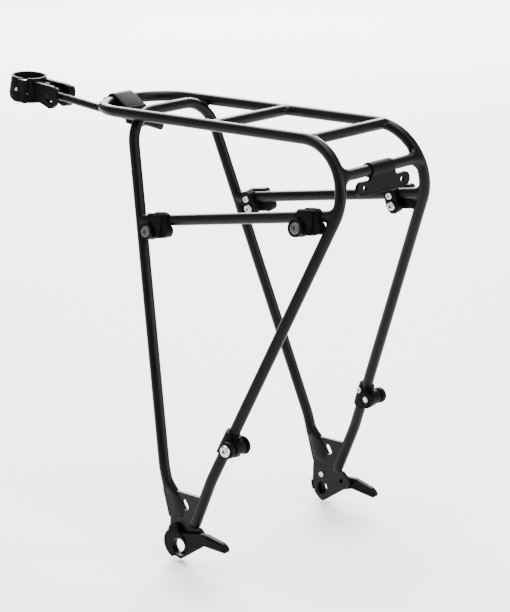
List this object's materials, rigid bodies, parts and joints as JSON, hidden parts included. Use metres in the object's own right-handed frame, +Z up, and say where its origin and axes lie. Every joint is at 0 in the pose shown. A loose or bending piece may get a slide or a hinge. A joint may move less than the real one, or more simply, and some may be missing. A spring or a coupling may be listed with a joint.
{
  "type": "rear rack",
  "caption": "Tubular rear bicycle rack that drops onto two frame studs with swing latches and is steadied by a rod with a quick-release clamp around the seat post.",
  "frame": {"origin": "middle of the axis through the two latch openings that sit on the frame studs", "axes": "+X forwards towards the seat post, +Y to the rider's left, +Z up; the deck is level"},
  "size_m": [0.4702, 0.2174, 0.4031],
  "materials": {
    "powder_coat": "satin powder coat",
    "black_nylon": "moulded, low sheen",
    "zinc_steel": "bright zinc plate",
    "grey_steel": "dull grey"
  },
  "bodies": {
    "rack": {"hoop_tube": "powder_coat", "front_arch_tube": "powder_coat", "middle_crossbar": "powder_coat", "rear_crossbar": "powder_coat", "tail_crossbar": "powder_coat", "lower_rail_left": "powder_coat", "lower_rail_right": "powder_coat", "dropout_plate_left": "powder_coat", "dropout_plate_right": "powder_coat", "rail_clamp_front_left": "black_nylon", "rail_clamp_front_right": "black_nylon", "rail_clamp_rear_left": "black_nylon", "rail_clamp_rear_right": "black_nylon", "rail_cap_front_left": "black_nylon", "rail_cap_front_right": "black_nylon", "rail_cap_rear_left": "black_nylon", "rail_cap_rear_right": "black_nylon", "stud_clamp_left": "black_nylon", "stud_clamp_right": "black_nylon", "stud_spool_left": "black_nylon", "stud_spool_right": "black_nylon", "stud_flange_left": "black_nylon", "stud_flange_right": "black_nylon", "latch_guard_left": "black_nylon", "latch_guard_right": "black_nylon", "light_bracket": "black_nylon", "strut_clamp_base": "black_nylon", "strut_clamp_strap": "black_nylon", "guard_rivet_left": "zinc_steel", "guard_rivet_right": "zinc_steel", "stud_bolt_left": "zinc_steel", "stud_bolt_right": "zinc_steel", "stud_set_screw_left": "zinc_steel", "stud_set_screw_right": "zinc_steel", "clamp_screw_front_left": "zinc_steel", "clamp_screw_front_right": "zinc_steel", "clamp_screw_rear_left": "zinc_steel", "clamp_screw_rear_right": "zinc_steel", "set_screw_front_left": "zinc_steel", "set_screw_front_right": "zinc_steel", "set_screw_rear_left": "zinc_steel", "set_screw_rear_right": "zinc_steel", "hook_screw_front_left": "grey_steel", "hook_screw_front_right": "grey_steel", "hook_screw_rear_left": "grey_steel", "hook_screw_rear_right": "grey_steel"},
    "strut": {"strut_rod": "powder_coat", "strut_pivot_pin": "zinc_steel"},
    "rear_jaw": {"seat_clamp_rear_jaw": "black_nylon", "jaw_hinge_pin": "zinc_steel"},
    "front_jaw": {"seat_clamp_front_jaw": "black_nylon", "lever_pin": "zinc_steel"},
    "jaw_lever": {"seat_clamp_lever": "black_nylon"},
    "latch_left": {"latch_lever_left": "black_nylon"},
    "latch_right": {"latch_lever_right": "black_nylon"}
  },
  "joints": [
    {"name": "strut_slide", "type": "slide", "parent": "rack", "child": "strut", "axis": [0.9942, 0, 0.1074], "range_m": [-0.06, 0.018]},
    {"name": "seat_clamp_tilt", "type": "hinge", "parent": "strut", "child": "rear_jaw", "pos_m": [0.252, 0, 0.3686], "axis": [0, 1, 0], "range_deg": [-15, 15]},
    {"name": "jaw_hinge", "type": "hinge", "parent": "rear_jaw", "child": "front_jaw", "pos_m": [0.27607, 0.01618, 0.37162], "axis": [-0.0958, 0, 0.9954], "range_deg": [0, 70]},
    {"name": "lever_pivot", "type": "hinge", "parent": "front_jaw", "child": "jaw_lever", "pos_m": [0.30121, -0.0182, 0.37404], "axis": [-0.0958, 0, 0.9954], "range_deg": [0, 100]},
    {"name": "latch_left_pivot", "type": "hinge", "parent": "rack", "child": "latch_left", "pos_m": [0, 0.1031, -0.0006], "axis": [0, 1, 0], "range_deg": [-35, 8]},
    {"name": "latch_right_pivot", "type": "hinge", "parent": "rack", "child": "latch_right", "pos_m": [0, -0.1031, -0.0006], "axis": [0, 1, 0], "range_deg": [-35, 8]}
  ]
}
